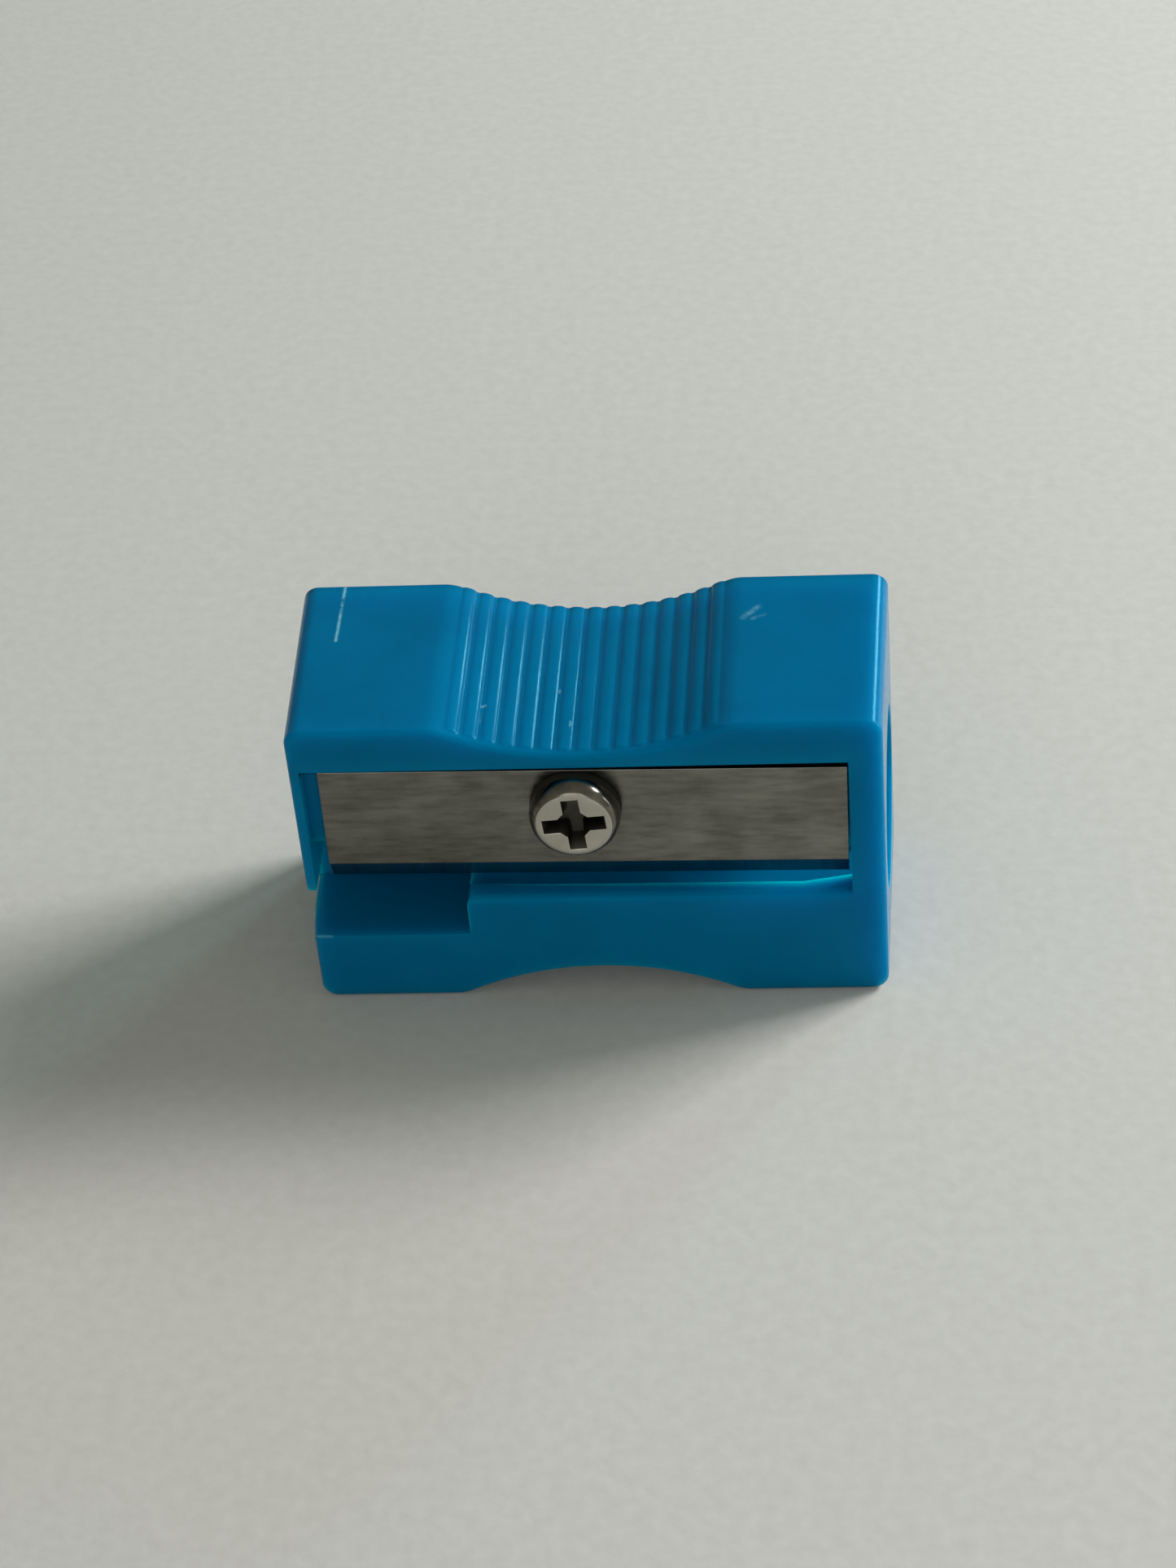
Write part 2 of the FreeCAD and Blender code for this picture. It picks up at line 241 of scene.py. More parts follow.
def wear(tree, where, marks, grain_scale):
    """Strongest of several marks at each spot, broken up by a fine noise."""
    total = 0.0
    for start, stop, reach, strength in marks:
        mark = maths(tree, "MULTIPLY", near_line(tree, where, start, stop, reach), strength)
        total = maths(tree, "MAXIMUM", total, mark)
    broken = share_of(tree, noise(tree, where, grain_scale), BREAK_START, BREAK_STOP)
    return maths(tree, "MULTIPLY", total, broken)


def socket_with(sockets, identifier):
    """The socket with an identifier, where several have one name."""
    return next(socket for socket in sockets if socket.identifier == identifier)


def mixed_colour(tree, factor, first, second):
    """Colour that goes from first to second as the factor goes from 0 to 1."""
    mix = add_node(tree, "ShaderNodeMix", data_type="RGBA")
    fill_input(tree, socket_with(mix.inputs, "Factor_Float"), factor)
    fill_input(tree, socket_with(mix.inputs, "A_Color"), first)
    fill_input(tree, socket_with(mix.inputs, "B_Color"), second)
    return socket_with(mix.outputs, "Result_Color")


# start, stop, reach and strength of each scratch or speck, in millimetres
BODY_MARKS = (
    ((-10.9, 5.5, 15.0), (-10.9, 1.7, 15.0), 0.10, 0.7),
    ((6.6, 2.7, 15.0), (7.3, 3.5, 15.0), 0.20, 0.3),
    ((7.0, 2.6, 15.0), (7.5, 2.9, 15.0), 0.15, 0.2),
    ((-12.4, -4.6, 3.6), (-11.7, -4.6, 3.6), 0.10, 0.35),
    ((-4.3, -2.1, 14.3), (-4.2, -2.0, 14.3), 0.13, 1.0),
    ((-4.3, -3.2, 14.3), (-4.3, -2.6, 14.3), 0.09, 0.6),
    ((-3.6, -0.3, 14.1), (-3.5, -0.5, 14.1), 0.10, 0.6),
    ((-1.2, -0.2, 13.6), (-1.2, -0.4, 13.6), 0.09, 0.6),
    ((-0.6, -2.4, 13.6), (-0.6, -2.7, 13.6), 0.09, 0.4),
)
# painted shadow in the gap above the blade, a near-black line described in the same way
GAP_SHADOW_LINE = (((-12.0, -4.0, 12.75), (11.0, -4.0, 12.75), 0.62, 2.2),)
# the one line on the body is a painted shadow in the gap above the blade
print(len(BODY_MARKS), "marks and", len(GAP_SHADOW_LINE), "line of grime on the body")

# %% [markdown]
# ## Blue moulding plastic
#
# The body is a glossy moulding, one colour right through, and light sinks a few millimetres into it. A
# flat colour would look like paint, so soft clouds change the blue and the gloss a little, and a fine
# grain in the bump breaks up the reflections as a steel mould's polish does. Subsurface scattering gives
# the glow at the edges and in thin walls. It fades out along the rim, over the painted shadow in the gap,
# and at the back edge, where no light comes through. A near-black line painted into the colour stands
# for the shadow in the gap above the blade.

# %% Plastic
DEEP_BLUE = (0.0, 0.116, 0.252, 1)
PALE_BLUE = (0.0, 0.130, 0.280, 1)
SCRATCHED_BLUE = (0.25, 0.60, 0.70, 1)
# near-black blue of the painted shadow in the gap above the blade
GAP_SHADOW_BLUE = (0.0, 0.004, 0.008, 1)
BLUE_CLOUDS = 260.0
GLOSS_CLOUDS = 900.0
SCRATCH_GRAIN = 3500.0
GAP_SHADOW_GRAIN = 6000.0
POLISH_GRAIN = 5000.0
PLASTIC_ROUGHNESS = (0.14, 0.22)
PLASTIC_SHINE = 0.13
PLASTIC_SHINE_TINT = (0.0, 0.6, 1.0, 1)
TRANSLUCENCY = 0.75
GLOW_BY_COLOUR = (0.1, 0.85, 1.0)
GLOW_DEPTH = 4.5 * MM
# start, stop and reach of the dull rim, and where the dull back edge starts and is full
DULL_RIM = ((-12.3, -4.63, 12.9), (11.3, -4.63, 12.9), 0.9)
DULL_BACK_START = 4.4 * MM
DULL_BACK_FULL = 5.4 * MM

plastic, tree, shader = new_material("blue_plastic")
place = object_place(tree)
clouds = noise(tree, place, BLUE_CLOUDS)
blue = ramp_between(tree, clouds, DEEP_BLUE, PALE_BLUE, low_at=0.3, high_at=0.7)
scratches = wear(tree, place, BODY_MARKS, SCRATCH_GRAIN)
scratched = mixed_colour(tree, scratches, blue, SCRATCHED_BLUE)
# painted shadow: the gap above the blade is darkened to near black in the colour
gap_shadowed = mixed_colour(tree, wear(tree, place, GAP_SHADOW_LINE, GAP_SHADOW_GRAIN), scratched, GAP_SHADOW_BLUE)
tree.links.new(gap_shadowed, shader.inputs["Base Color"])
gloss = range_between(tree, noise(tree, place, GLOSS_CLOUDS), *PLASTIC_ROUGHNESS)
tree.links.new(maths(tree, "MAXIMUM", gloss, scratches), shader.inputs["Roughness"])
shader.inputs["Specular IOR Level"].default_value = PLASTIC_SHINE
shader.inputs["Specular Tint"].default_value = PLASTIC_SHINE_TINT
at_rim = near_line(tree, place, *DULL_RIM)
depth = add_node(tree, "ShaderNodeSeparateXYZ", {0: place}).outputs["Y"]
at_back = share_of(tree, depth, DULL_BACK_START, DULL_BACK_FULL)
clear = range_between(tree, maths(tree, "MAXIMUM", at_rim, at_back), TRANSLUCENCY, 0.0)
tree.links.new(clear, shader.inputs["Subsurface Weight"])
shader.inputs["Subsurface Radius"].default_value = GLOW_BY_COLOUR
shader.inputs["Subsurface Scale"].default_value = GLOW_DEPTH
relief(tree, shader, noise(tree, place, POLISH_GRAIN), strength=0.25, distance=0.02 * MM)
print("made", plastic.name)

# %% [markdown]
# ## Steel, nickel and painted shade
#
# The strip is rolled, so its marks run lengthwise: the noise is squeezed across the strip and stretched
# along it. The ground edge is smoother, with marks across it. The screw is nickel plated: its face is the
# brightest and only faintly cloudy. Its shoulder is worn and patchy, and painted dark for the dark
# reflections it shows. Its recess is dull, and painted dark for the shade inside it. Each metal could
# have nodes of its own, but one recipe with other numbers makes them all. Round the foot of the screw's
# head sits a matt, near-black painted shadow.

# %% Metals
LENGTHWISE = (700.0, 4000.0, 4000.0)
CROSSWISE = (9000.0, 600.0, 600.0)
EVEN = (900.0, 900.0, 900.0)
METAL_CLOUDS = 500.0


def metal(name, dark, light, marks_scale, gloss, bump):
    """Metal whose colour follows marks and clouds, and whose gloss and relief follow the marks."""
    material, tree, shader = new_material(name)
    shader.inputs["Metallic"].default_value = 1.0
    place = object_place(tree)
    stretched = add_node(tree, "ShaderNodeMapping", {"Vector": place, "Scale": marks_scale}).outputs[0]
    marks = noise(tree, stretched, 1.0, detail=4.0)
    clouds = noise(tree, place, METAL_CLOUDS, detail=3.0)
    mixed = maths(tree, "MULTIPLY_ADD", clouds, 0.5, maths(tree, "MULTIPLY", marks, 0.5))
    colour = ramp_between(tree, mixed, dark, light, low_at=0.35, high_at=0.65)
    tree.links.new(colour, shader.inputs["Base Color"])
    tree.links.new(range_between(tree, marks, *gloss), shader.inputs["Roughness"])
    relief(tree, shader, marks, strength=bump, distance=0.01 * MM)
    return material


rolled_steel = metal("rolled_steel", dark=(0.122, 0.119, 0.102, 1), light=(0.226, 0.219, 0.192, 1),
                     marks_scale=LENGTHWISE, gloss=(0.22, 0.36), bump=0.3)
ground_steel = metal("ground_steel", dark=(0.15, 0.15, 0.14, 1), light=(0.24, 0.24, 0.22, 1),
                     marks_scale=CROSSWISE, gloss=(0.10, 0.22), bump=0.2)
nickel = metal("nickel", dark=(0.40, 0.385, 0.33, 1), light=(0.50, 0.48, 0.415, 1),
               marks_scale=EVEN, gloss=(0.22, 0.32), bump=0.12)
# worn, and painted dark for the dark reflections that the shoulder shows
worn_shaded_nickel = metal("worn_shaded_nickel", dark=(0.06, 0.052, 0.042, 1), light=(0.26, 0.24, 0.20, 1),
                    marks_scale=EVEN, gloss=(0.10, 0.22), bump=0.5)
# painted shade: the recess is made dark for the shade inside it
recess_shade_steel = metal("recess_shade_steel", dark=(0.05, 0.045, 0.038, 1), light=(0.12, 0.11, 0.095, 1),
                     marks_scale=EVEN, gloss=(0.30, 0.45), bump=0.2)
print("made", rolled_steel.name, ground_steel.name, nickel.name, worn_shaded_nickel.name, recess_shade_steel.name)

# %% Painted shade
# painted shadow round the foot of the screw's head, matt and near-black
FOOT_SHADE_COLOUR = (0.022, 0.020, 0.016, 1)
FOOT_SHADE_ROUGHNESS = 0.7
FOOT_SHADE_SHINE = 0.2

grime, tree, shader = new_material("grime")
shader.inputs["Base Color"].default_value = FOOT_SHADE_COLOUR
shader.inputs["Roughness"].default_value = FOOT_SHADE_ROUGHNESS
shader.inputs["Specular IOR Level"].default_value = FOOT_SHADE_SHINE
print("made", grime.name)

# %% [markdown]
# ## The block's outline
#
# Seen from the front the block is a rectangle with round corners and a shallow round waist above and
# below, for finger and thumb. A Boolean of a box and two cylinders would give it, but the outline is all
# lines and arcs, so it is quicker and cleaner to walk round it once. Each point keeps its outward
# direction, which the edges' rounding needs.

# %% Outline
HALF_LENGTH = 12.5
HEIGHT = 15.0
CORNER_RADIUS = 0.7
CORNER_STEPS = 8
WAIST_RADIUS = 13.2
WAIST_DEPTH = 1.5
SHOULDER_RADIUS = 1.8
SHOULDER_STEPS = 10
RIB_PITCH = 0.8
STEPS_PER_RIB = 32
QUARTER = math.pi / 2

waist_z = HEIGHT + WAIST_RADIUS - WAIST_DEPTH
shoulder_z = HEIGHT - SHOULDER_RADIUS
waist_half_angle = math.acos((waist_z - shoulder_z) / (WAIST_RADIUS + SHOULDER_RADIUS))
shoulder_x = (WAIST_RADIUS + SHOULDER_RADIUS) * math.sin(waist_half_angle)
corner_x = HALF_LENGTH - CORNER_RADIUS
corner_z = HEIGHT - CORNER_RADIUS
waist_steps = round(2 * waist_half_angle * WAIST_RADIUS / RIB_PITCH * STEPS_PER_RIB)


def arc(x, z, radius, start, stop, steps, bulge=1):
    """Points and outward directions along an arc. A hollow arc has bulge -1."""
    found = []
    for step in range(steps + 1):
        angle = start + (stop - start) * step / steps
        out_x = math.cos(angle)
        out_z = math.sin(angle)
        found.append((x + radius * out_x, z + radius * out_z, out_x * bulge, out_z * bulge))
    return found


upper_side = (
    arc(-corner_x, corner_z, CORNER_RADIUS, 2 * QUARTER, QUARTER, CORNER_STEPS)
    + arc(-shoulder_x, shoulder_z, SHOULDER_RADIUS, QUARTER, QUARTER - waist_half_angle, SHOULDER_STEPS)
    + arc(0, waist_z, WAIST_RADIUS, -QUARTER - waist_half_angle, -QUARTER + waist_half_angle,
          waist_steps, -1)[1:-1]
    + arc(shoulder_x, shoulder_z, SHOULDER_RADIUS, QUARTER + waist_half_angle, QUARTER, SHOULDER_STEPS)
    + arc(corner_x, corner_z, CORNER_RADIUS, QUARTER, 0, CORNER_STEPS)
)
lower_side = [(x, HEIGHT - z, out_x, -out_z) for x, z, out_x, out_z in reversed(upper_side)]
outline = upper_side + lower_side
print(len(outline), "points round the outline")

# %% [markdown]
# ## The block
#
# The outline is repeated at several depths and skinned, like the frames of a boat. The first and last few
# sections are drawn in along a quarter circle, which rounds the front and back edges. The two ends also
# lean outwards to the back, because the moulding has to slide out of its mould. Extruding the outline and
# bevelling it would be shorter, but the ribs need sections of their own where they rise.

# %% Block
FRONT_Y = -4.635
BACK_Y = 5.664
END_DRAFT = 0.3
FRONT_EDGE_RADIUS = 0.26
BACK_EDGE_RADIUS = 0.10
RIB_MARGIN = 0.26
RIB_RUN_IN = 0.2
EDGE_STEPS = 5
ON_END = 1e-6


def skinned(name, sections):
    """Closed shape through several outlines that have equally many 3-D corners, in millimetres."""
    bm = bmesh.new()
    rings = [[bm.verts.new(Vector(corner) * MM) for corner in section] for section in sections]
    for ring, following in zip(rings, rings[1:]):
        for index in range(len(ring)):
            after = (index + 1) % len(ring)
            bm.faces.new((ring[index], ring[after], following[after], following[index]))
    bm.faces.new(rings[0])
    bm.faces.new(rings[-1])
    bmesh.ops.recalc_face_normals(bm, faces=bm.faces)
    return object_from(bm, name)


def block_section(y, inset):
    """The outline at a depth, drawn in by inset, with its ends leaning out."""
    lean = END_DRAFT * (y - FRONT_Y) / (BACK_Y - FRONT_Y)
    corners = []
    for x, z, out_x, out_z in outline:
        end = math.copysign(1, x) if abs(x) >= corner_x - ON_END else 0
        corners.append((x + end * lean - out_x * inset, y, z - out_z * inset))
    return corners


block_sections = []
for step in range(EDGE_STEPS + 1):
    angle = QUARTER * step / EDGE_STEPS
    block_sections.append(block_section(FRONT_Y + FRONT_EDGE_RADIUS * (1 - math.cos(angle)),
                                        FRONT_EDGE_RADIUS * (1 - math.sin(angle))))
for step in range(EDGE_STEPS + 1):
    block_sections.append(block_section(FRONT_Y + RIB_MARGIN + RIB_RUN_IN * step / EDGE_STEPS, 0.0))
for step in range(EDGE_STEPS + 1):
    angle = QUARTER * step / EDGE_STEPS
    block_sections.append(block_section(BACK_Y - BACK_EDGE_RADIUS * (1 - math.sin(angle)),
                                        BACK_EDGE_RADIUS * (1 - math.cos(angle))))
body = skinned("moulded_body", block_sections)
print("block has", len(body.data.polygons), "faces")

# %% [markdown]
# ## The grip's ribs
#
# Fifteen low ridges run across each waist, with nearly flat backs and quick sides. They could be fifteen
# bars joined to the block, but ridges that follow a surface are a rule: how far is this point from the
# nearest rib's middle line? A Geometry Nodes tree answers that for every point and lifts it towards the
# waist's centre. The ridges start a little behind the front edge and rise gently there.

# %% Tree helpers
def add_input(tree, name, kind="NodeSocketFloat"):
    """Named input of a tree. Gives its identifier, which a modifier needs."""
    return tree.interface.new_socket(name, in_out="INPUT", socket_type=kind).identifier


def begin_tree(name, inputs):
    """New tree with named inputs. Gives the tree, its input sockets and the identifiers by name."""
    tree = bpy.data.node_groups.new(name, "GeometryNodeTree")
    tree.interface.new_socket("Geometry", in_out="INPUT", socket_type="NodeSocketGeometry")
    identifiers = {label: add_input(tree, label) for label in inputs}
    identifiers["Material"] = add_input(tree, "Material", "NodeSocketMaterial")
    tree.interface.new_socket("Geometry", in_out="OUTPUT", socket_type="NodeSocketGeometry")
    return tree, tree.nodes.new("NodeGroupInput").outputs, identifiers


def end_tree(tree, geometry, material):
    """Make instances real, give them their material and pass them out."""
    real = add_node(tree, "GeometryNodeRealizeInstances", {0: geometry})
    painted = add_node(tree, "GeometryNodeSetMaterial", {
        "Geometry": real.outputs[0], "Material": material})
    end = tree.nodes.new("NodeGroupOutput")
    tree.links.new(painted.outputs[0], end.inputs[0])


def run_tree(made, tree, identifiers, values):
    """Run a tree on an object and keep the plain mesh."""
    modifier = made.modifiers.new(tree.name, "NODES")
    modifier.node_group = tree
    for label, value in values.items():
        modifier[identifiers[label]] = value
    keep_result(made)


print("tree helpers ready")

# %% Rib tree
rib_tree, given, rib_inputs = begin_tree("grip_ribs", (
    "Body Height", "Waist Radius", "Waist Depth", "Rib Pitch", "Rib Count",
    "Rib Width", "Rib Height", "Flatness", "Ribs Start", "Run In"))
position = add_node(rib_tree, "GeometryNodeInputPosition").outputs[0]
spot = add_node(rib_tree, "ShaderNodeSeparateXYZ", {0: position}).outputs

# the angle of each point round the centre of its waist
half_height = maths(rib_tree, "MULTIPLY", given["Body Height"], 0.5)
above_middle = maths(rib_tree, "SUBTRACT", spot["Z"], half_height)
side = maths(rib_tree, "SIGN", above_middle)
waist_top = maths(rib_tree, "ADD", half_height, given["Waist Radius"])
centre_height = maths(rib_tree, "SUBTRACT", waist_top, given["Waist Depth"])
below_centre = maths(rib_tree, "SUBTRACT", centre_height, maths(rib_tree, "ABSOLUTE", above_middle))
angle = maths(rib_tree, "ARCTAN2", spot["X"], below_centre)

# the nearest rib, and how far the point is from its middle line
last_rib = maths(rib_tree, "SUBTRACT", given["Rib Count"], 1.0)
step_angle = maths(rib_tree, "DIVIDE", given["Rib Pitch"], given["Waist Radius"])
from_middle_rib = maths(rib_tree, "DIVIDE", angle, step_angle)
counted = maths(rib_tree, "ADD", from_middle_rib, maths(rib_tree, "MULTIPLY", last_rib, 0.5))
not_past_last = maths(rib_tree, "MINIMUM", maths(rib_tree, "ROUND", counted), last_rib)
nearest = maths(rib_tree, "MAXIMUM", not_past_last, 0.0)
off_rib = maths(rib_tree, "MULTIPLY", maths(rib_tree, "SUBTRACT", counted, nearest), given["Rib Pitch"])

# a rib's back is nearly flat, and it falls off quickly at its two edges
half_width = maths(rib_tree, "MULTIPLY", given["Rib Width"], 0.5)
off_share = maths(rib_tree, "ABSOLUTE", maths(rib_tree, "DIVIDE", off_rib, half_width))
fall = maths(rib_tree, "POWER", maths(rib_tree, "MINIMUM", 1.0, off_share), given["Flatness"])
rise = maths(rib_tree, "MULTIPLY", given["Rib Height"], maths(rib_tree, "SUBTRACT", 1.0, fall))
full_height_y = maths(rib_tree, "ADD", given["Ribs Start"], given["Run In"])
run_in = add_node(rib_tree, "ShaderNodeMapRange", {
    "Value": spot["Y"], "From Min": given["Ribs Start"], "From Max": full_height_y},
    interpolation_type="SMOOTHSTEP").outputs[0]
lift = maths(rib_tree, "MULTIPLY", rise, run_in)

# lift the point towards the waist's centre
towards_centre = add_node(rib_tree, "ShaderNodeCombineXYZ", {
    "X": maths(rib_tree, "MULTIPLY", spot["X"], -1.0),
    "Z": maths(rib_tree, "MULTIPLY", below_centre, side)}).outputs[0]
direction = vector_maths(rib_tree, "NORMALIZE", {0: towards_centre})
shift = vector_maths(rib_tree, "SCALE", {0: direction, "Scale": lift})
raised = add_node(rib_tree, "GeometryNodeSetPosition", {"Geometry": given["Geometry"], "Offset": shift})
end_tree(rib_tree, raised.outputs[0], given["Material"])
print("rib tree has", len(rib_tree.nodes), "nodes")

# %% Ribs
RIB_COUNT = 15
RIB_WIDTH = 0.64
RIB_HEIGHT = 0.085
RIB_FLATNESS = 2.6

run_tree(body, rib_tree, rib_inputs, {
    "Body Height": HEIGHT * MM,
    "Waist Radius": WAIST_RADIUS * MM,
    "Waist Depth": WAIST_DEPTH * MM,
    "Rib Pitch": RIB_PITCH * MM,
    "Rib Count": float(RIB_COUNT),
    "Rib Width": RIB_WIDTH * MM,
    "Rib Height": RIB_HEIGHT * MM,
    "Flatness": RIB_FLATNESS,
    "Ribs Start": (FRONT_Y + RIB_MARGIN) * MM,
    "Run In": RIB_RUN_IN * MM,
    "Material": plastic,
})
print(RIB_COUNT, "ribs on each grip")

# %% [markdown]
# ## Seat, slot, pocket and bore
#
# The inside of the block is what makes it a sharpener: a seat for the blade, a slot that lets the shaving
# out, a pocket round the pencil's point and a leaning bore that ends in a cone. Modelling them face by
# face would be slow, because plain shapes meet there in awkward lines, which is work for the Boolean
# modifier. Each cutter is a prism, a turned shape or a skin over a few outlines, and the exact solver
# follows where they cross. Two cutters are slivers that only take off an edge, so the lip below the slot
# comes out round.

# %% Cutter helpers
OUTSIDE = 1.5
SPARE = 0.2
ROUND_STEPS = 8


def prism(name, corners, direction):
    """Closed prism on a flat outline of 3-D corners in millimetres."""
    bm = bmesh.new()
    base = bm.faces.new([bm.verts.new(Vector(corner) * MM) for corner in corners])
    grown = bmesh.ops.extrude_face_region(bm, geom=[base])["geom"]
    moved = [item for item in grown if isinstance(item, bmesh.types.BMVert)]
    bmesh.ops.translate(bm, verts=moved, vec=Vector(direction) * MM)
    bmesh.ops.recalc_face_normals(bm, faces=bm.faces)
    return object_from(bm, name)


def front_prism(name, corners, back_y):
    """Prism on an outline of x, z corners, from in front of the block to back_y."""
    start_y = FRONT_Y - OUTSIDE
    return prism(name, [(x, start_y, z) for x, z in corners], (0, back_y - start_y, 0))


def turned(name, profile, axis_point, axis_direction, steps):
    """Closed turned shape. profile gives distance along the axis and radius, in millimetres."""
    along = Vector(axis_direction).normalized()
    across = along.cross(Vector((0, 0, 1))).normalized()
    upward = across.cross(along)
    sections = []
    for distance, radius in profile:
        middle = Vector(axis_point) + along * distance
        section = []
        for step in range(steps):
            angle = 2 * math.pi * step / steps
            spoke = across * math.cos(angle) + upward * math.sin(angle)
            section.append(middle + spoke * radius)
        sections.append(section)
    return skinned(name, sections)


def edge_round(edge, height, radius):
    """Outline of what is taken off to round an upper edge that faces down the first axis."""
    curve = arc(edge + radius, height - radius, radius, 2 * QUARTER, QUARTER, ROUND_STEPS)
    found = [(u, v) for u, v, _, _ in curve]
    found.append((edge + radius, height + SPARE))
    found.append((edge - SPARE, height + SPARE))
    found.append((edge - SPARE, height - radius))
    return found


print("cutter helpers ready")

# %% Seat, slot and pocket
SEAT_Y = -3.915
RECESS_LEFT = -12.05
RECESS_RIGHT = 11.05
LIP_Z = 5.67
RIM_Z = 12.88
SLOT_TOP_Z = 7.37
SLOT_CORNER_RADIUS = 0.4
POCKET_RIGHT = -5.6
POCKET_FLOOR_Z = 3.62
POCKET_ROOF_Z = 8.5
POCKET_BACK_Y = -0.435
RAIL_END_Z = 6.3
CONE_HALF_ANGLE = math.radians(11.0)
CONE_APEX = Vector((-12.0134, SEAT_Y, 6.45))


def cone_middle_y(x):
    """Depth of the bore's axis at x."""
    return CONE_APEX.y + (x - CONE_APEX.x) * math.tan(CONE_HALF_ANGLE)


lip_turn = arc(RECESS_RIGHT - SLOT_CORNER_RADIUS, LIP_Z + SLOT_CORNER_RADIUS, SLOT_CORNER_RADIUS,
               -QUARTER, 0, ROUND_STEPS)
recess_corners = [(RECESS_LEFT, LIP_Z)] + [(x, z) for x, z, _, _ in lip_turn]
recess_corners += [(RECESS_RIGHT, RIM_Z), (RECESS_LEFT, RIM_Z)]
cutters = [front_prism("cut_recess", recess_corners, SEAT_Y)]

slot_left = POCKET_RIGHT - OUTSIDE
slot_corners = [
    (slot_left, FRONT_Y - OUTSIDE, LIP_Z),
    (RECESS_RIGHT, FRONT_Y - OUTSIDE, LIP_Z),
    (RECESS_RIGHT, cone_middle_y(RECESS_RIGHT), LIP_Z),
    (slot_left, cone_middle_y(slot_left), LIP_Z),
]
cutters.append(prism("cut_slot", slot_corners, (0, 0, SLOT_TOP_Z - LIP_Z)))

pocket_corners = [
    (-HALF_LENGTH - OUTSIDE, POCKET_FLOOR_Z), (POCKET_RIGHT, POCKET_FLOOR_Z),
    (POCKET_RIGHT, POCKET_ROOF_Z), (RECESS_LEFT, POCKET_ROOF_Z),
    (RECESS_LEFT, RAIL_END_Z), (-HALF_LENGTH - OUTSIDE, RAIL_END_Z),
]
cutters.append(front_prism("cut_pocket", pocket_corners, POCKET_BACK_Y))
print(len(cutters), "cutters for seat, slot and pocket")

# %% Lip, bore and screw hole
LIP_RADIUS = 0.35
LIP_END_RADIUS = 0.05
BORE_RADIUS = 4.0
TIP_RADIUS = 0.5
BORE_LENGTH = 28.0
BORE_STEPS = 128
SCREW_X = -0.5
SCREW_Z = 10.6
SCREW_HOLE_RADIUS = 1.05
SCREW_HOLE_END_Y = 1.585
HOLE_STEPS = 48

lip_end = arc(POCKET_RIGHT + SLOT_CORNER_RADIUS, LIP_Z - SLOT_CORNER_RADIUS, SLOT_CORNER_RADIUS,
              QUARTER, 2 * QUARTER, ROUND_STEPS)
lip_end_corners = [(x, z) for x, z, _, _ in lip_end]
lip_end_corners.append((POCKET_RIGHT - SPARE, LIP_Z - SLOT_CORNER_RADIUS))
lip_end_corners.append((POCKET_RIGHT - SPARE, LIP_Z + SPARE))
lip_end_corners.append((POCKET_RIGHT + SLOT_CORNER_RADIUS, LIP_Z + SPARE))
cutters.append(front_prism("cut_lip_end", lip_end_corners, cone_middle_y(POCKET_RIGHT)))

lip_sections = []
for x, radius in ((POCKET_RIGHT - SPARE, LIP_RADIUS), (RECESS_RIGHT - LIP_RADIUS, LIP_RADIUS),
                  (RECESS_RIGHT, LIP_END_RADIUS)):
    lip_sections.append([(x, y, z) for y, z in edge_round(FRONT_Y, LIP_Z, radius)])
cutters.append(skinned("cut_lip_round", lip_sections))

cone_start = TIP_RADIUS / math.tan(CONE_HALF_ANGLE)
cone_end = BORE_RADIUS / math.tan(CONE_HALF_ANGLE)
bore_profile = [(cone_start, TIP_RADIUS), (cone_end, BORE_RADIUS), (BORE_LENGTH, BORE_RADIUS)]
bore_axis = (math.cos(CONE_HALF_ANGLE), math.sin(CONE_HALF_ANGLE), 0)
cutters.append(turned("cut_bore", bore_profile, CONE_APEX, bore_axis, BORE_STEPS))

hole_profile = [(FRONT_Y - OUTSIDE, SCREW_HOLE_RADIUS), (SCREW_HOLE_END_Y, SCREW_HOLE_RADIUS)]
cutters.append(turned("cut_screw_hole", hole_profile, (SCREW_X, 0, SCREW_Z), (0, 1, 0), HOLE_STEPS))
print(len(cutters), "cutters in all so far")

# %% [markdown]
# ## Flash, then the cuts
#
# Where the halves of the mould meet, a little plastic creeps out past the end of the pocket's floor. It is
# a thin fin, widest towards the back, so it is skinned through a few outlines. A second small fin stands
# at the back of the pocket's open end. Both are joined to the block before the cuts, and one more cutter
# rounds the first fin's outer edge. They could be separate pieces, but a moulding has no seams.

# %% Cut the block
FLASH_THICKNESS = 0.3
FLASH_ROOT_X = -11.8
FLASH_EDGE_RADIUS = 0.22
FLASH_REACH_X = -12.78
# depth of each place along the flash, and how far out it reaches there
FLASH_EDGE = ((-4.5, -12.48), (-3.6, -12.62), (-2.4, -12.74), (-1.4, FLASH_REACH_X),
              (POCKET_BACK_Y, FLASH_REACH_X))


def combine(made, others, operation="DIFFERENCE"):
    """Cut the others out of a piece, or join them to it, and remove them."""
    for other in others:
        boolean = made.modifiers.new(other.name, "BOOLEAN")
        boolean.operation = operation
        boolean.solver = "EXACT"
        boolean.object = other
    keep_result(made)
    for other in others:
        mesh = other.data
        bpy.data.objects.remove(other)
        bpy.data.meshes.remove(mesh)


